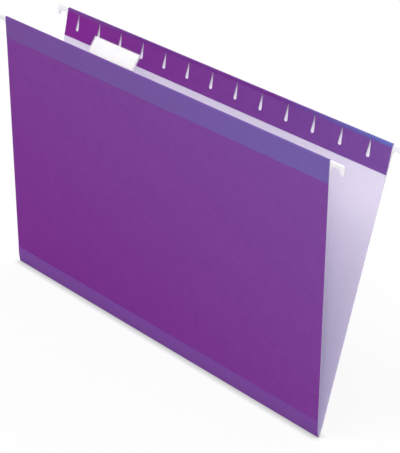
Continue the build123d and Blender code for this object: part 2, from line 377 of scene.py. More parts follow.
def place(tree, kind, sockets=None, **options):
    """Adds a node, sets its options, and fills its inputs with values or with other nodes' outputs."""
    node = tree.nodes.new(kind)
    for option, value in options.items():
        setattr(node, option, value)
    for socket, value in (sockets or {}).items():
        if isinstance(value, bpy.types.NodeSocket):
            tree.links.new(value, node.inputs[socket])
        else:
            node.inputs[socket].default_value = value
    return node


def new_group(name, kind, inputs, outputs):
    """A node group's tree and its inputs, each given by its default number or by the name of its kind."""
    tree = bpy.data.node_groups.new(name, kind)
    for label, given in inputs.items():
        if isinstance(given, str):
            tree.interface.new_socket(label, in_out="INPUT", socket_type=f"NodeSocket{given}")
        else:
            number = tree.interface.new_socket(label, in_out="INPUT", socket_type="NodeSocketFloat")
            number.default_value = given
    for label, given in outputs.items():
        tree.interface.new_socket(label, in_out="OUTPUT", socket_type=f"NodeSocket{given}")
    return tree, place(tree, "NodeGroupInput").outputs


def calculate(tree, operation, first, second=0.0):
    """The output of a Math node."""
    return place(tree, "ShaderNodeMath", {0: first, 1: second}, operation=operation).outputs[0]


def times(tree, first, second):
    """The product of two values."""
    return calculate(tree, "MULTIPLY", first, second)


def balance(tree, first, second, share):
    """The sum of two values, the second with that share and the first with the rest."""
    return calculate(tree, "ADD", times(tree, first, 1.0 - share), times(tree, second, share))


def remap(tree, value, old=(0.0, 1.0), new=(0.0, 1.0)):
    """A value carried from one range to another, held inside it."""
    sockets = {"Value": value, "From Min": old[0], "From Max": old[1], "To Min": new[0], "To Max": new[1]}
    return place(tree, "ShaderNodeMapRange", sockets).outputs["Result"]


def noise(tree, vector, scale, detail, roughness=0.5):
    """The output of a Noise Texture node."""
    sockets = {"Vector": vector, "Scale": scale, "Detail": detail, "Roughness": roughness}
    return place(tree, "ShaderNodeTexNoise", sockets).outputs[0]


def draw_out(tree, vector, share):
    """A vector with its X cut to a share, which draws a pattern out along the folder."""
    sockets = {0: vector, 1: (share, 1.0, 1.0)}
    return place(tree, "ShaderNodeVectorMath", sockets, operation="MULTIPLY").outputs[0]


def mix_colours(tree, mask, first, second, share=1.0):
    """A colour that goes over to a second one by a share of a mask."""
    tones = [tone if isinstance(tone, bpy.types.NodeSocket) else (*tone, 1.0) for tone in (first, second)]
    # The Mix node's sockets go by number, because their names repeat
    sockets = {0: times(tree, mask, share), 6: tones[0], 7: tones[1]}
    return place(tree, "ShaderNodeMix", sockets, data_type="RGBA").outputs[2]


def tone_ramp(tree, share, stops):
    """A colour that goes from stop to stop, each a share from 0 to 1 and a colour."""
    node = place(tree, "ShaderNodeValToRGB", {"Fac": share})
    ramp = node.color_ramp.elements
    for spot, _ in stops[1:-1]:
        ramp.new(spot)
    for element, (spot, tone) in zip(ramp, stops):
        element.position = spot
        element.color = (*tone, 1.0)
    return node.outputs["Color"]


def seen_directly(tree):
    """1 for what the camera, a reflection or a clear piece looks at, 0 for light that falls on things."""
    path = place(tree, "ShaderNodeLightPath").outputs
    mirrored = calculate(tree, "MAXIMUM", path["Is Glossy Ray"], path["Is Transmission Ray"])
    return calculate(tree, "MAXIMUM", path["Is Camera Ray"], mirrored)


def paper_fibre_group(name):
    """Fibres and soft clouds of a paper sheet."""
    inputs = {"Vector": "Vector", "Grain Scale": 1400.0, "Cloud Scale": 110.0}
    tree, given = new_group(name, "ShaderNodeTree", inputs, {"Height": "Float", "Tone": "Float"})
    vector = given["Vector"]
    grain = given["Grain Scale"]
    finer = times(tree, grain, 2.2)
    fibres = noise(tree, draw_out(tree, vector, share=0.3), grain, detail=4.0, roughness=0.7)
    specks = noise(tree, vector, finer, detail=2.0, roughness=0.6)
    clouds = noise(tree, vector, given["Cloud Scale"], detail=3.0)
    height = balance(tree, fibres, specks, share=0.35)
    tone = remap(tree, balance(tree, height, clouds, share=0.15), old=(0.36, 0.64))
    place(tree, "NodeGroupOutput", {"Height": height, "Tone": tone})
    return tree


def rubbed_edge_group(name):
    """Where the sheet's two side edges are rubbed, strongest at the edge and broken up by noise."""
    inputs = {"Vector": "Vector", "Half Width": 0.2, "Reach": 1.0 * MM}
    tree, given = new_group(name, "ShaderNodeTree", inputs, {"Mask": "Float"})
    x = place(tree, "ShaderNodeSeparateXYZ", {0: given["Vector"]}).outputs["X"]
    inset = calculate(tree, "SUBTRACT", given["Half Width"], calculate(tree, "ABSOLUTE", x))
    near = remap(tree, calculate(tree, "DIVIDE", inset, given["Reach"]), new=(1.0, 0.0))
    patches = noise(tree, given["Vector"], scale=420.0, detail=4.0, roughness=0.65)
    mask = times(tree, near, remap(tree, patches, old=(0.42, 0.68)))
    place(tree, "NodeGroupOutput", {"Mask": mask})
    return tree


def fine_scuff_group(name):
    """Faint drawn-out handling marks."""
    inputs = {"Vector": "Vector", "Scale": 120.0, "Cover": 0.4}
    tree, given = new_group(name, "ShaderNodeTree", inputs, {"Mask": "Float"})
    bare_edge = 0.75
    cover_drop = 0.4
    fade = 0.12
    drawn = draw_out(tree, given["Vector"], share=0.12)
    coarser = times(tree, given["Scale"], 0.2)
    marks = noise(tree, drawn, given["Scale"], detail=5.0, roughness=0.6)
    patches = noise(tree, given["Vector"], coarser, detail=2.0)
    edge = calculate(tree, "SUBTRACT", bare_edge, times(tree, given["Cover"], cover_drop))
    sharp = remap(tree, marks, old=(edge, calculate(tree, "ADD", edge, fade)))
    mask = times(tree, sharp, remap(tree, patches, old=(0.4, 0.65)))
    place(tree, "NodeGroupOutput", {"Mask": mask})
    return tree


def painted_light_drift_group(name):
    """How far along the sheet a place is, from a start in half widths to the right end, and how far up, for
    colours that paint sheen and shade along and up the sheet.
    """
    inputs = {"Vector": "Vector", "Half Width": 0.2, "Height": 0.25, "Start": -1.0}
    tree, given = new_group(name, "ShaderNodeTree", inputs, {"Along": "Float", "Up": "Float"})
    spot = place(tree, "ShaderNodeSeparateXYZ", {0: given["Vector"]}).outputs
    across = calculate(tree, "DIVIDE", spot["X"], given["Half Width"])
    along = remap(tree, across, old=(given["Start"], 1.0))
    up = calculate(tree, "DIVIDE", spot["Z"], given["Height"])
    place(tree, "NodeGroupOutput", {"Along": along, "Up": up})
    return tree


EFFECTS = {
    "Paper Fibre": paper_fibre_group,
    "Sheet Drift": painted_light_drift_group,
    "Rubbed Edge": rubbed_edge_group,
    "Fine Scuff": fine_scuff_group,
}


# Finishes


class Finish:
    """A new material with its Principled shader, and Object coordinates for its patterns."""

    def __init__(self, name, **fixed):
        self.material = bpy.data.materials.new(name)
        self.material.use_nodes = True
        self.tree = self.material.node_tree
        self.shader = self.tree.nodes["Principled BSDF"]
        for socket, value in fixed.items():
            self.shader.inputs[socket.replace("_", " ")].default_value = value
        self.vector = place(self.tree, "ShaderNodeTexCoord").outputs["Object"]

    def effect(self, name, **given):
        """The outputs of a shared effect, which is built on its first use."""
        group = bpy.data.node_groups.get(name) or EFFECTS[name](name)
        sockets = {"Vector": self.vector}
        for socket, value in given.items():
            sockets[socket.replace("_", " ")] = value
        return place(self.tree, "ShaderNodeGroup", sockets, node_tree=group).outputs

    def feed(self, socket, output):
        self.tree.links.new(output, self.shader.inputs[socket])

    def tint(self, mask, first, second, share=1.0):
        self.feed("Base Color", mix_colours(self.tree, mask, first, second, share))

    def roughen(self, value, old=(0.0, 1.0), new=(0.0, 1.0)):
        self.feed("Roughness", remap(self.tree, value, old, new))

    def bump(self, height, distance, strength):
        sockets = {"Height": height, "Distance": distance, "Strength": strength}
        self.feed("Normal", place(self.tree, "ShaderNodeBump", sockets).outputs["Normal"])


def paper_finish(name, stops, deep, rubbed, sizes, climb):
    """Uncoated card with fibres, clouds and rubbed side edges, whose colour changes along the sheet and up
    it: painted sheen on the outer faces, painted shade and painted light on the inner face.
    """
    half_width = sizes.sheet_width / 2
    made = Finish(name, IOR=1.45, Specular_IOR_Level=0.12)
    fibre = made.effect("Paper Fibre")
    rub = made.effect("Rubbed Edge", Half_Width=half_width, Reach=0.9 * MM)
    drift = made.effect("Sheet Drift", Half_Width=half_width, Height=sizes.panel_height)
    dye_and_painted_light = tone_ramp(made.tree, balance(made.tree, drift["Along"], drift["Up"], climb), stops)
    fibred_dye_and_painted_light = mix_colours(made.tree, fibre["Tone"], dye_and_painted_light, deep, share=0.5)
    made.tint(rub["Mask"], fibred_dye_and_painted_light, rubbed, share=0.6)
    made.roughen(fibre["Tone"], new=(0.58, 0.72))
    made.bump(fibre["Height"], distance=0.04 * MM, strength=0.35)
    return made.material


# Painted sheen: the outer face goes bluer towards the right end and, by the climb, upwards.
def card_outside(name, colours, sizes):
    stops = [(0.0, colours.card_outside), (1.0, colours.card_outside_painted_sheen)]
    return paper_finish(name, stops, colours.card_outside_deep, colours.card_rubbed, sizes, climb=0.6)


# The hems' own lit copy of the outer face, with a painted sheen that grows to the right end.
def card_flap(name, colours, sizes):
    stops = [(0.0, colours.card_flap), (1.0, colours.card_flap_painted_sheen)]
    return paper_finish(name, stops, colours.card_outside_deep, colours.card_rubbed, sizes, climb=0.0)


def card_inside(name, colours, sizes):
    """The pale face, painted darker and bluer towards the crease as shade, and painted paler just above the
    hem's foot as light, where the slots show it in the hem's shade.
    """
    hem_foot = (1.0 - sizes.hem_depth / sizes.panel_height) * cos(sizes.lean)
    pale_from = 0.8
    # Painted light: from just above the hem's foot the inner face is made paler, where the slots show it in
    # the hem's shade.
    painted_light_from = hem_foot + 0.006
    painted_light_whole = hem_foot + 0.012
    stops = [
        (0.0, colours.card_inside_painted_shade),
        (pale_from, colours.card_inside),
        (painted_light_from, colours.card_inside),
        (painted_light_whole, colours.card_inside_painted_light),
    ]
    return paper_finish(name, stops, colours.card_inside_deep, colours.card_inside_deep, sizes, climb=1.0)


def card_cut(name, colours, sizes):
    stops = [(0.0, colours.card_cut), (1.0, colours.card_cut)]
    return paper_finish(name, stops, colours.card_inside_deep, colours.card_inside_deep, sizes, climb=0.0)


def film_finish(name, sizes, near, far, deep, start=-1.0):
    """Thin satin film: the card's fibres show through faintly, with drawn-out streaks and scuffs; its colour
    goes from the left end to the right as a painted sheen, which on the lip is a painted bluish reflection.
    """
    made = Finish(name, IOR=1.5, Specular_IOR_Level=0.15, Coat_Weight=0.06, Coat_Roughness=0.18)
    fibre = made.effect("Paper Fibre", Grain_Scale=900.0)
    scuff = made.effect("Fine Scuff", Scale=260.0, Cover=0.5)
    drift = made.effect("Sheet Drift", Half_Width=sizes.sheet_width / 2, Start=start)
    dye_and_painted_light = mix_colours(made.tree, drift["Along"], near, far)
    made.tint(fibre["Tone"], dye_and_painted_light, deep, share=0.3)
    made.roughen(scuff["Mask"], new=(0.3, 0.48))
    made.bump(fibre["Height"], distance=0.02 * MM, strength=0.2)
    return made.material


def top_film(name, colours, sizes):
    return film_finish(name, sizes, colours.top_film, colours.top_film_painted_sheen, colours.film_deep)


# Painted reflection: the film inside the top edges turns bluer towards the right end.
def lip_film(name, colours, sizes):
    return film_finish(name, sizes, colours.lip_film, colours.lip_film_painted_reflection, colours.lip_film, start=0.35)


def foot_film(name, colours, sizes):
    return film_finish(name, sizes, colours.foot_film, colours.foot_film_painted_sheen, colours.film_deep)


def hook_coat_finish(name, colours, sizes):
    """White dipped plastic, a little uneven."""
    made = Finish(name, IOR=1.48)
    clouds = noise(made.tree, made.vector, scale=500.0, detail=3.0)
    scuff = made.effect("Fine Scuff", Scale=700.0, Cover=0.5)
    made.tint(clouds, colours.hook_coat, colours.hook_coat_deep)
    made.roughen(scuff["Mask"], new=(0.32, 0.5))
    made.bump(clouds, distance=0.05 * MM, strength=0.3)
    return made.material


def steel_finish(name, colours, sizes):
    """Rolled strip steel with lines along its length."""
    made = Finish(name, Metallic=1.0)
    drawn = draw_out(made.tree, made.vector, share=0.02)
    lines = noise(made.tree, drawn, scale=2600.0, detail=3.0)
    dark_steel = [0.7 * channel for channel in colours.steel]
    made.tint(lines, colours.steel, dark_steel)
    made.roughen(lines, old=(0.3, 0.7), new=(0.28, 0.45))
    made.bump(lines, distance=0.01 * MM, strength=0.3)
    return made.material


def clear_plastic_finish(name, colours, sizes):
    """Clear flexible sheet: it shows most where it is seen edge on, and carries faint scuffs."""
    made = Finish(name, IOR=1.49, Base_Color=(*colours.clear_plastic, 1.0))
    scuff = made.effect("Fine Scuff", Scale=420.0, Cover=0.55)
    facing = place(made.tree, "ShaderNodeLayerWeight", {"Blend": 0.35}).outputs["Facing"]
    shown = remap(made.tree, facing, old=(0.1, 0.95), new=(0.14, 0.6))
    haze = times(made.tree, scuff["Mask"], 0.06)
    made.feed("Alpha", calculate(made.tree, "ADD", shown, haze))
    made.roughen(scuff["Mask"], new=(0.06, 0.24))
    return made.material


def label_finish(name, colours, sizes):
    """Smooth white card."""
    made = Finish(name, Specular_IOR_Level=0.35)
    fibre = made.effect("Paper Fibre", Grain_Scale=2000.0)
    made.tint(fibre["Tone"], colours.label, colours.label_deep, share=0.5)
    made.roughen(fibre["Tone"], new=(0.5, 0.62))
    made.bump(fibre["Height"], distance=0.02 * MM, strength=0.25)
    return made.material


def glue_finish(name, colours, sizes):
    """Dried glue, thicker and thinner along its line."""
    made = Finish(name, IOR=1.5)
    beads = noise(made.tree, made.vector, scale=350.0, detail=3.0)
    made.tint(beads, colours.glue, colours.glue_deep)
    made.roughen(beads, old=(0.3, 0.7), new=(0.35, 0.6))
    made.bump(beads, distance=0.05 * MM, strength=0.4)
    return made.material


def floor_finish(name, colours, sizes):
    """Matt white that the camera sees part lit, so that it keeps the shadow, and part plain white, whose
    white is painted darker near the folder as a thin contact shadow.
    """
    stage = bpy.context.scene.folder_stage
    made = Finish(name, Roughness=0.9, Specular_IOR_Level=0.1)
    tree = made.tree
    seen = seen_directly(tree)
    made.tint(seen, colours.floor, colours.floor_seen)
    share = times(tree, seen, stage.floor_whiteness)
    # Painted contact shadow: ambient occlusion dims the floor's plain white near the folder.
    around = place(tree, "ShaderNodeAmbientOcclusion", {"Distance": stage.contact_reach}).outputs["AO"]
    level = remap(tree, around, new=(stage.contact_level, 1.0))
    white = place(tree, "ShaderNodeEmission", {"Color": WHITE, "Strength": level}).outputs[0]
    mixed = place(tree, "ShaderNodeMixShader", {0: share, 1: made.shader.outputs[0], 2: white}).outputs[0]
    tree.links.new(mixed, tree.nodes["Material Output"].inputs["Surface"])
    return made.material


FINISHES = {
    "card_outside": card_outside,
    "card_flap": card_flap,
    "card_inside": card_inside,
    "card_cut": card_cut,
    "satin_top_film": top_film,
    "satin_lip_film": lip_film,
    "satin_foot_film": foot_film,
    "dipped_coat": hook_coat_finish,
    "rolled_steel": steel_finish,
    "clear_sheet": clear_plastic_finish,
    "label_paper": label_finish,
    "dried_glue": glue_finish,
    "floor": floor_finish,
}
CARD_FACES = ("card_outside", "card_inside", "card_cut")


def finish(name):
    """A material by its name, built on its first use."""
    scene = bpy.context.scene
    return bpy.data.materials.get(name) or FINISHES[name](name, scene.folder_colours, scene.folder_sizes)


# Meshes


def new_object(name, bm, *finishes):
    """An object at the origin with that mesh and those finishes."""
    mesh = bpy.data.meshes.new(name)
    bm.to_mesh(mesh)
    bm.free()
    for one in finishes:
        mesh.materials.append(finish(one))
    obj = bpy.data.objects.new(name, mesh)
    bpy.context.scene.collection.objects.link(obj)
    return obj


def apply_modifiers(obj):
    """Keeps what the modifiers make as the object's own plain mesh."""
    mesh = bpy.data.meshes.new_from_object(obj.evaluated_get(bpy.context.evaluated_depsgraph_get()))
    obj.modifiers.clear()
    obj.data = mesh


def smooth_arcs(obj, limit=CRISP):
    """Smooth shading, with edges sharper than the limit kept crisp."""
    obj.data.shade_smooth()
    obj.data.set_sharp_from_angle(angle=limit)


def end_rows(bm, lines, half_width, middle=0.0):
    """Each Y-Z line as two rows of points, at the left end of a piece and at its right end."""
    rows = []
    for line in lines:
        for x in (middle - half_width, middle + half_width):
            rows.append([bm.verts.new((x, y, z)) for y, z in line])
    return rows


def bridge(bm, first, second, index=0, closed=False):
    """Faces between two rows of points, with that finish. A closed row's end meets its start."""
    points = len(first)
    for i in range(points if closed else points - 1):
        j = (i + 1) % points
        bm.faces.new((first[i], second[i], second[j], first[j])).material_index = index


def add_strip(bm, line, half_width):
    """Faces along X between the points of a Y-Z line."""
    left, right = end_rows(bm, (line,), half_width)
    bridge(bm, left, right)


def prism(bm, near, far, half_width, middle=0.0):
    """A closed band along X between two lines: finish 0 on the far, 1 on the near, 2 at the cut edges."""
    far_left, far_right, near_left, near_right = end_rows(bm, (far, near), half_width, middle)
    bridge(bm, far_left, far_right, 0)
    bridge(bm, near_right, near_left, 1)
    bridge(bm, near_left, far_left, 2)
    bridge(bm, far_right, near_right, 2)
    for i in (0, -1):
        bm.faces.new((far_left[i], far_right[i], near_right[i], near_left[i])).material_index = 2
    bmesh.ops.recalc_face_normals(bm, faces=bm.faces)


def ring_prism(bm, outer, inner, half_width, middle):
    """A closed tube along X between two closed Y-Z loops with as many points each."""
    outer_left, outer_right, inner_left, inner_right = end_rows(bm, (outer, inner), half_width, middle)
    bridge(bm, outer_left, outer_right, closed=True)
    bridge(bm, inner_left, inner_right, closed=True)
    bridge(bm, outer_left, inner_left, closed=True)
    bridge(bm, outer_right, inner_right, closed=True)
    bmesh.ops.recalc_face_normals(bm, faces=bm.faces)


def set_in_place(bm, matrix):
    """Moves a mesh to its place and keeps its faces outwards."""
    bm.transform(matrix)
    if matrix.determinant() < 0:
        bmesh.ops.reverse_faces(bm, faces=bm.faces)


def attach(obj, body, slot, *nodes):
    """The piece rides on a body and stands for CAD nodes, which it hides. Its slot is not used."""
    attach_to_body(obj, body)
    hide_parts(*nodes)


# Slotted flap


def slotted_flap_tree(name):
    """A plate in the X-Y plane, its upper edge on the X axis, with a row of teardrop slots through it."""
    inputs = {"Slot Count": "Int", "Slot Pitch": "Float", "Row Shift": "Float", "Material": "Material"}
    for length_name in ("Width", "Height", "Tip Depth", "Foot Depth", "Tip Radius", "Foot Radius"):
        inputs[length_name] = "Float"
    tree, size = new_group(name, "GeometryNodeTree", inputs, {"Geometry": "Geometry"})

    def vector(x, y):
        return place(tree, "ShaderNodeCombineXYZ", {0: x, 1: y}).outputs[0]

    sides = {"Width": size["Width"], "Height": size["Height"]}
    plate = place(tree, "GeometryNodeCurvePrimitiveQuadrilateral", sides).outputs[0]
    drop = vector(0.0, times(tree, size["Height"], -0.5))
    lowered = place(tree, "GeometryNodeTransform", {"Geometry": plate, "Translation": drop}).outputs[0]

    # A circle of radius 1 becomes the teardrop: its upper part goes round the tip and the rest round the foot
    tip_y = times(tree, calculate(tree, "ADD", size["Tip Depth"], size["Tip Radius"]), -1.0)
    foot_y = calculate(tree, "SUBTRACT", size["Foot Radius"], size["Foot Depth"])
    widening = calculate(tree, "SUBTRACT", size["Foot Radius"], size["Tip Radius"])
    taper = calculate(tree, "DIVIDE", widening, calculate(tree, "SUBTRACT", tip_y, foot_y))
    unit_circle = {"Resolution": SLOT_POINTS, "Radius": 1.0}
    circle = place(tree, "GeometryNodeCurvePrimitiveCircle", unit_circle).outputs[0]
    direction = place(tree, "GeometryNodeInputPosition").outputs[0]
    rise = place(tree, "ShaderNodeSeparateXYZ", {0: direction}).outputs["Y"]
    upper = place(tree, "FunctionNodeCompare", {"A": rise, "B": taper}, operation="GREATER_THAN").outputs[0]

    def round_end(radius, y):
        scaled = {0: direction, "Scale": radius}
        reach = place(tree, "ShaderNodeVectorMath", scaled, operation="SCALE").outputs[0]
        return place(tree, "ShaderNodeVectorMath", {0: reach, 1: vector(0.0, y)}, operation="ADD").outputs[0]

    ends = {
        "Switch": upper,
        "False": round_end(size["Foot Radius"], foot_y),
        "True": round_end(size["Tip Radius"], tip_y),
    }
    either = place(tree, "GeometryNodeSwitch", ends, input_type="VECTOR").outputs[0]
    teardrop = place(tree, "GeometryNodeSetPosition", {"Geometry": circle, "Position": either}).outputs[0]

    half_pitch = times(tree, size["Slot Pitch"], 0.5)
    half_row = times(tree, calculate(tree, "SUBTRACT", size["Slot Count"], 1.0), half_pitch)
    spread = {
        "Count": size["Slot Count"],
        "Start Location": vector(calculate(tree, "SUBTRACT", size["Row Shift"], half_row), 0.0),
        "Offset": vector(size["Slot Pitch"], 0.0),
    }
    row = place(tree, "GeometryNodeMeshLine", spread, mode="OFFSET").outputs[0]
    slots = place(tree, "GeometryNodeInstanceOnPoints", {"Points": row, "Instance": teardrop}).outputs[0]
    outlines = place(tree, "GeometryNodeJoinGeometry")
    for outline in (lowered, slots):
        tree.links.new(outline, outlines.inputs[0])
    real = place(tree, "GeometryNodeRealizeInstances", {0: outlines.outputs[0]}).outputs[0]
    filled = place(tree, "GeometryNodeFillCurve", {"Curve": real}).outputs[0]
    whole = place(tree, "GeometryNodeRealizeInstances", {0: filled}).outputs[0]
    coloured = {"Geometry": whole, "Material": size["Material"]}
    fibred_dye_and_painted_light = place(tree, "GeometryNodeSetMaterial", coloured).outputs[0]
    place(tree, "NodeGroupOutput", {"Geometry": fibred_dye_and_painted_light})
    return tree


def made_by_nodes(tree, values):
    """The plain mesh that a geometry tree makes with those named values."""
    holder = bpy.data.objects.new(tree.name, bpy.data.meshes.new(tree.name))
    bpy.context.scene.collection.objects.link(holder)
    modifier = holder.modifiers.new(tree.name, "NODES")
    modifier.node_group = tree
    for item in tree.interface.items_tree:
        if item.item_type == "SOCKET" and item.in_out == "INPUT":
            modifier[item.identifier] = values[item.name]
    apply_modifiers(holder)
    mesh = holder.data
    bpy.data.objects.remove(holder)
    return mesh


def slotted_flap(shape, row_shift):
    """The hem's flat stretch with its slots, in the X-Y plane."""
    sizes = shape.sizes
    above = shape.fold_top + SUPPORT
    tree = bpy.data.node_groups.get("Slotted Flap") or slotted_flap_tree("Slotted Flap")
    return made_by_nodes(tree, {
        "Width": sizes.sheet_width,
        "Height": shape.flap_length - 2 * SUPPORT,
        "Slot Count": sizes.slot_count,
        "Slot Pitch": sizes.slot_pitch,
        "Row Shift": row_shift,
        "Tip Depth": sizes.slot_tip_depth - above,
        "Foot Depth": sizes.slot_foot_depth - above,
        "Tip Radius": sizes.slot_tip_radius,
        "Foot Radius": sizes.slot_foot_radius,
        "Material": finish("card_outside"),
    })


class FOLDER_OT_card(bpy.types.Operator):
    """Makes each leaf's card: the panel, the fold over the rod and the slotted hem as one sheet"""

    bl_idname = "folder.card"
    bl_label = "Card Leaves"

    def execute(self, context):
        shape = LeafShape(context.scene.folder_sizes)
        for leaf, side in LEAVES:
            self.make_leaf(shape, leaf, side)
        return {"FINISHED"}

    def make_leaf(self, shape, leaf, side):
        """The sheet's outer face, which Solidify gives its thickness, inner face and cut edges."""
        sizes = shape.sizes
        bm = bmesh.new()
        plate = slotted_flap(shape, side * sizes.slot_row_shift)
        bm.from_mesh(plate)
        bpy.data.meshes.remove(plate)
        fold = shape.fold_line(sizes.card)
        bm.transform(Matrix.Translation((0, *fold[-1])) @ Matrix.Rotation(pi / 2 - shape.flap_turn, 4, "X"))
        add_strip(bm, shape.hem_foot_line(sizes.card), shape.half_width)
        for face in bm.faces:
            face.material_index = len(CARD_FACES)
        panel = shape.lower_line(sizes.card, fold[0][1])
        add_strip(bm, panel[:-1] + fold, shape.half_width)
        bmesh.ops.remove_doubles(bm, verts=bm.verts, dist=WELD)
        bmesh.ops.recalc_face_normals(bm, faces=bm.faces)
        largest = max(bm.faces, key=lambda face: face.calc_area())
        if largest.normal.y > 0:
            bmesh.ops.reverse_faces(bm, faces=bm.faces)
        set_in_place(bm, shape.placing(side))
        sheet = new_object(f"{leaf}_card", bm, *CARD_FACES, "card_flap", *CARD_FACES[1:])
        thickness = sheet.modifiers.new("Thickness", "SOLIDIFY")
        thickness.thickness = sizes.card
        thickness.offset = -1.0
        thickness.use_even_offset = True
        thickness.material_offset = 1
        thickness.material_offset_rim = 2
        apply_modifiers(sheet)
        smooth_arcs(sheet)
        attach(sheet, f"{leaf}_leaf", "card", f"{leaf}_panel", f"{leaf}_top_fold", f"{leaf}_hem")


class FOLDER_OT_crease(bpy.types.Operator):
    """Makes the bottom crease's card and film, in two halves, one at each leaf"""

    bl_idname = "folder.crease"
    bl_label = "Bottom Crease"

    def execute(self, context):
        sizes = context.scene.folder_sizes
        shape = LeafShape(sizes)
        film_depths = (sizes.card, sizes.card + sizes.film)
        for leaf, side in LEAVES:
            self.make_half(shape, leaf, side, "crease", (0.0, sizes.card), "card", CARD_FACES)
            self.make_half(shape, leaf, side, "crease_film", film_depths, "film", 3 * ["satin_foot_film"])
        return {"FINISHED"}

    def make_half(self, shape, leaf, side, node, depths, slot, finishes):
        """The half at one leaf, which bends from the crease's lowest line to its tail."""
        near, far = depths
        bm = bmesh.new()
        prism(bm, shape.crease_line(near), shape.crease_line(far), shape.half_width)
        set_in_place(bm, Matrix.Diagonal((1, side, 1, 1)) @ Matrix.Translation((0, 0, shape.crease_outer)))
        half = new_object(f"{leaf}_{node}", bm, *finishes)
        smooth_arcs(half)
        lowest, *_, tail = shape.crease_line(shape.sizes.card)
        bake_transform(half)
        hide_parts(node)


class FOLDER_OT_film(bpy.types.Operator):
    """Makes the reinforcing film over the top folds and along the foot of the leaves"""

    bl_idname = "folder.film"
    bl_label = "Reinforcing Film"

    def execute(self, context):
        shape = LeafShape(context.scene.folder_sizes)
        for leaf, side in LEAVES:
            self.make_band(shape, leaf, side, "top_film", self.top_line, "satin_top_film")
            self.make_band(shape, leaf, side, "bottom_film", self.bottom_line, "satin_foot_film")
        return {"FINISHED"}

    def top_line(self, shape, depth):
        sizes = shape.sizes
        low = (shape.panel_inner - depth, shape.top - sizes.top_film_height)
        tip = shape.on_flap(shape.fold_radius + depth, shape.fold_top - sizes.slot_tip_depth)
        return [low, *shape.fold_line(depth), tip]

    def bottom_line(self, shape, depth):
        return shape.lower_line(depth, shape.sizes.bottom_film_height - shape.crease_outer)

    def make_band(self, shape, leaf, side, band, line, film):
        """A band of film, whose faces turned to the folder's inside take the lip's finish, a painted bluish
        reflection that grows towards the right end.
        """
        sizes = shape.sizes
        bm = bmesh.new()
        prism(bm, line(shape, sizes.card), line(shape, sizes.card + sizes.film), shape.half_width)
        set_in_place(bm, shape.placing(side))
        for face in bm.faces:
            face.material_index = int(face.normal.y * side > INWARD)
        made = new_object(f"{leaf}_{band}_band", bm, film, "satin_lip_film")
        smooth_arcs(made)
        attach(made, f"{leaf}_leaf", "film", f"{leaf}_{band}")


def filleted(corners, inset):
    """A closed X-Z outline of right-angled corners, each rounded, drawn in by an inset all round."""
    points = []
    for i, ((x, z), radius) in enumerate(corners):
        here = Vector((x, z))
        arriving = (here - Vector(corners[i - 1][0])).normalized()
        leaving = (Vector(corners[(i + 1) % len(corners)][0]) - here).normalized()
        outward = arriving.cross(leaving) < 0
        bend = max(radius - inset, LEAST_BEND) if outward else radius + inset
        corner = here + inset * Vector((arriving.y + leaving.y, -arriving.x - leaving.x))
        centre = corner + bend * (leaving - arriving)
        for step in range(CORNER_STEPS + 1):
            turn = pi / 2 * step / CORNER_STEPS
            points.append(centre + bend * (arriving * sin(turn) - leaving * cos(turn)))
    return points


class FOLDER_OT_hooks(bpy.types.Operator):
    """Makes the white dipped hooks at both ends of each rod"""

    bl_idname = "folder.hooks"
    bl_label = "Coated Hooks"

    def execute(self, context):
        shape = LeafShape(context.scene.folder_sizes)
        for leaf, side in LEAVES:
            for end, direction in (("left", -1), ("right", 1)):
                bm = self.hook_mesh(shape)
                set_in_place(bm, shape.placing(side) @ Matrix.Diagonal((direction, 1, 1, 1)))
                hook = new_object(f"{leaf}_{end}_hook", bm, "dipped_coat")
                smooth_arcs(hook, CRISP_ROUNDED)
                attach(hook, f"{leaf}_leaf", "hook_coat", f"{leaf}_{end}_tip")
        return {"FINISHED"}

    def corners(self, shape):
        """The right hook's corners and radii, seen from the front, clockwise from the inner upper one."""
        sizes = shape.sizes
        near = shape.half_width + sizes.coat_side_gap
        top = shape.fold_centre[1] + sizes.rod_rise + sizes.coat
        notch_top = top - 2 * sizes.coat - sizes.rod_height
        leg_far = shape.half_width + sizes.hook_reach
        leg_near = leg_far - sizes.hook_leg_width
        leg_foot = shape.top - sizes.hook_leg_depth
        shoulder_far = near + sizes.hook_shoulder_width
        shoulder_foot = shape.top - sizes.hook_shoulder_depth
        shoulder_bend = sizes.hook_shoulder_radius + sizes.coat
        leg_bend = sizes.hook_leg_radius + sizes.coat
        return [
            ((near, top), sizes.coat),
            ((leg_far, top), sizes.hook_top_radius + sizes.coat),
            ((leg_far, leg_foot), leg_bend),
            ((leg_near, leg_foot), leg_bend),
            ((leg_near, notch_top), sizes.hook_notch_radius),
            ((shoulder_far, notch_top), sizes.hook_notch_radius),
            ((shoulder_far, shoulder_foot), shoulder_bend),
            ((near, shoulder_foot), shoulder_bend),
        ]

    def hook_mesh(self, shape):
        """Stacked outlines that draw in towards both faces, which rounds the coat's edges."""
        sizes = shape.sizes
        half = sizes.rod_thickness / 2 + sizes.coat
        edge = sizes.hook_edge_radius
        corners = self.corners(shape)
        levels = []
        for step in range(EDGE_STEPS + 1):
            turn = pi / 2 * step / EDGE_STEPS
            levels.append((edge * (1 - sin(turn)), half - edge * (1 - cos(turn))))
        levels += [(inset, -rise) for inset, rise in reversed(levels)]
        bm = bmesh.new()
        rings = []
        for inset, rise in levels:
            ring = filleted(corners, inset)
            rings.append([bm.verts.new((p.x, shape.fold_centre[0] + rise, p.y)) for p in ring])
        for first, second in zip(rings, rings[1:]):
            bridge(bm, first, second, closed=True)
        bm.faces.new(rings[0])
        bm.faces.new(rings[-1])
        bmesh.ops.recalc_face_normals(bm, faces=bm.faces)
        return bm


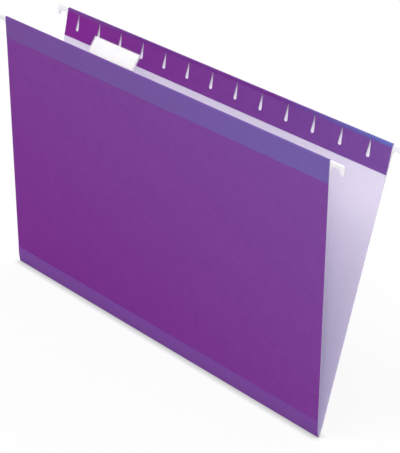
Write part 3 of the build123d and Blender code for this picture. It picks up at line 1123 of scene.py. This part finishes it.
class FOLDER_OT_rods(bpy.types.Operator):
    """Gives the steel rods and the glue lines their finishes"""

    bl_idname = "folder.rods"
    bl_label = "Rods and Glue"

    def execute(self, context):
        for leaf, _ in LEAVES:
            self.dress(f"{leaf}_rod", "rolled_steel")
            self.dress(f"{leaf}_glue_line", "dried_glue")
        return {"FINISHED"}

    def dress(self, node, name):
        slots = frame["nodes"][node].material_slots
        for slot in slots:
            slot.material = finish(name)
        if not slots:
            frame["nodes"][node].data.materials.append(finish(name))


class FOLDER_OT_tab(bpy.types.Operator):
    """Makes the clear tab: its base on the hem, its bend and its window sleeve"""

    bl_idname = "folder.tab"
    bl_label = "Clear Tab"

    def execute(self, context):
        shape = LeafShape(context.scene.folder_sizes)
        self.make_base(shape)
        self.make_bend(shape)
        self.make_window(shape)
        return {"FINISHED"}

    def round_edges(self, obj, shape):
        bevel = obj.modifiers.new("Edges", "BEVEL")
        bevel.width = shape.sizes.tab_edge_radius
        bevel.segments = 2
        bevel.limit_method = "ANGLE"
        bevel.angle_limit = BEVELLED
        apply_modifiers(obj)
        smooth_arcs(obj, CRISP_ROUNDED)

    def make_base(self, shape):
        bm = bmesh.new()
        bm.from_mesh(frame["nodes"]["tab_base"].data)
        bmesh.ops.remove_doubles(bm, verts=bm.verts, dist=WELD)
        bmesh.ops.dissolve_limit(bm, angle_limit=FLAT, verts=bm.verts, edges=bm.edges)
        base = new_object("tab_clip", bm, "clear_sheet")
        self.round_edges(base, shape)
        attach(base, "front_leaf", "clear_plastic", "tab_base")

    def make_bend(self, shape):
        sizes = shape.sizes
        lines = []
        for reach in (sizes.tab_bend_radius, sizes.tab_bend_radius + sizes.tab_wall):
            line = arc(shape.tab_axis, reach, pi - shape.flap_turn, pi - sizes.tab_turn)
            lines.append(line + [shape.in_tab((-reach, sizes.tab_bend_tail))])
        bm = bmesh.new()
        prism(bm, *lines, sizes.tab_width / 2, shape.tab_middle)
        placing = shape.placing(1)
        set_in_place(bm, placing)
        bend = new_object("tab_hinge", bm, *3 * ["clear_sheet"])
        smooth_arcs(bend)
        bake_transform(bend)
        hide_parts("tab_bend")

    def make_window(self, shape):
        sizes = shape.sizes
        inner = shape.label_gap / 2
        middle = inner - sizes.tab_bend_radius
        tail = sizes.tab_bend_tail
        loops = []
        for reach, foot in ((inner + sizes.tab_wall, tail), (inner, tail + sizes.tab_wall)):
            loop = [(middle + reach, foot)]
            loop += arc((middle, shape.tab_crown), reach, 0.0, pi)
            loop.append((middle - reach, foot))
            loops.append([shape.in_tab(point) for point in loop])
        bm = bmesh.new()
        ring_prism(bm, *loops, sizes.tab_width / 2, shape.tab_middle)
        set_in_place(bm, shape.placing(1))
        window = new_object("tab_sleeve", bm, "clear_sheet")
        self.round_edges(window, shape)
        attach(window, "tab", "clear_plastic", "tab_window")


class FOLDER_OT_label(bpy.types.Operator):
    """Makes the blank label slip in the tab's sleeve"""

    bl_idname = "folder.label"
    bl_label = "Blank Label"

    def execute(self, context):
        sizes = context.scene.folder_sizes
        shape = LeafShape(sizes)
        front = sizes.label_clearance - sizes.tab_bend_radius
        foot = sizes.tab_bend_tail + sizes.tab_wall + sizes.label_clearance
        lines = [
            [shape.in_tab((face, height)) for height in (foot, shape.tab_crown)]
            for face in (front + sizes.label_thickness, front)
        ]
        bm = bmesh.new()
        prism(bm, *lines, sizes.tab_width / 2 - sizes.label_side_margin, shape.tab_middle)
        set_in_place(bm, shape.placing(1))
        label = new_object("label_slip", bm, *3 * ["label_paper"])
        attach(label, "label", "label_card", "label_insert")
        return {"FINISHED"}


class FOLDER_OT_stage(bpy.types.Operator):
    """Makes the floor, the soft light, the white surround and the camera"""

    bl_idname = "folder.stage"
    bl_label = "Stage"

    def execute(self, context):
        scene = context.scene
        stage = scene.folder_stage
        self.make_floor(stage)
        self.make_surround(scene, stage)
        for name in LIGHTS:
            self.make_light(scene, stage, name)
        self.make_camera(scene, stage)
        scene.view_settings.view_transform = "Standard"
        return {"FINISHED"}

    def make_floor(self, stage):
        half = stage.floor_half_width
        bm = bmesh.new()
        corners = [(-half, -half), (half, -half), (half, half), (-half, half)]
        bm.faces.new([bm.verts.new((x, y, -stage.floor_gap)) for x, y in corners])
        floor = new_object("floor", bm, "floor")

    def make_surround(self, scene, stage):
        """Plain white where it is looked at, and softer in the light that it throws."""
        world = bpy.data.worlds.new("studio")
        world.use_nodes = True
        tree = world.node_tree
        tree.nodes.clear()
        direction = place(tree, "ShaderNodeTexCoord").outputs["Generated"]
        height = place(tree, "ShaderNodeSeparateXYZ", {0: direction}).outputs["Z"]
        level = remap(tree, height, new=(stage.horizon_level, stage.zenith_level))
        falling = place(tree, "ShaderNodeBackground", {"Color": WHITE, "Strength": level}).outputs[0]
        seen = place(tree, "ShaderNodeBackground", {"Color": WHITE, "Strength": 1.0}).outputs[0]
        mixed = place(tree, "ShaderNodeMixShader", {0: seen_directly(tree), 1: falling, 2: seen}).outputs[0]
        place(tree, "ShaderNodeOutputWorld", {"Surface": mixed})
        scene.world = world

    def make_light(self, scene, stage, name):
        """A soft round light that faces the folder."""
        light = bpy.data.lights.new(f"{name}_light", "AREA")
        light.shape = "DISK"
        light.size = getattr(stage, f"{name}_width")
        light.energy = getattr(stage, f"{name}_power")
        lamp = bpy.data.objects.new(f"{name}_light", light)
        spot = Vector(getattr(stage, f"{name}_place"))
        lamp.location = spot
        lamp.rotation_euler = (Vector(stage.light_aim) - spot).to_track_quat("-Z", "Y").to_euler()
        lamp.visible_camera = False
        scene.collection.objects.link(lamp)

    def make_camera(self, scene, stage):
        tilt = stage.camera_tilt
        turn = stage.camera_turn
        back = Vector((sin(turn) * cos(tilt), -cos(turn) * cos(tilt), sin(tilt)))
        level = Vector((0, 0, 1)).cross(back).normalized()
        right = Matrix.Rotation(stage.camera_roll, 3, back) @ level
        up = back.cross(right)
        lens = bpy.data.cameras.new("camera")
        lens.lens = stage.camera_lens
        lens.clip_start = CLIP_START
        lens.clip_end = CLIP_END
        camera = bpy.data.objects.new("camera", lens)
        facing = Matrix((right, up, back)).transposed().to_4x4()
        camera.matrix_world = Matrix.Translation(stage.camera_place) @ facing
        scene.collection.objects.link(camera)
        scene.camera = camera


class FOLDER_PT_pieces(bpy.types.Panel):
    """The folder's pieces, in the order they are made"""

    bl_idname = "FOLDER_PT_pieces"
    bl_label = "Hanging File Folder"
    bl_space_type = "VIEW_3D"
    bl_region_type = "UI"
    bl_category = "Folder"

    def draw(self, context):
        for operator in OPERATORS:
            self.layout.operator(operator.bl_idname)
        for group in SETTINGS:
            settings = getattr(context.scene, group)
            box = self.layout.box()
            for setting in type(settings).__annotations__:
                box.prop(settings, setting)


OPERATORS = (
    FOLDER_OT_card,
    FOLDER_OT_crease,
    FOLDER_OT_film,
    FOLDER_OT_hooks,
    FOLDER_OT_rods,
    FOLDER_OT_tab,
    FOLDER_OT_label,
    FOLDER_OT_stage,
)
SETTINGS = {"folder_sizes": FolderSizes, "folder_colours": FolderColours, "folder_stage": FolderStage}
CLASSES = (*SETTINGS.values(), *OPERATORS, FOLDER_PT_pieces)


def register():
    for one in CLASSES:
        bpy.utils.register_class(one)
    for name, group in SETTINGS.items():
        setattr(bpy.types.Scene, name, bpy.props.PointerProperty(type=group))


def unregister():
    for name in SETTINGS:
        delattr(bpy.types.Scene, name)
    for one in reversed(CLASSES):
        bpy.utils.unregister_class(one)


def main():
    """Makes every piece and the stage."""
    register()
    bpy.ops.folder.card()
    bpy.ops.folder.crease()
    bpy.ops.folder.film()
    bpy.ops.folder.hooks()
    bpy.ops.folder.rods()
    bpy.ops.folder.tab()
    bpy.ops.folder.label()
    bpy.ops.folder.stage()


if __name__ == "__main__":
    main()
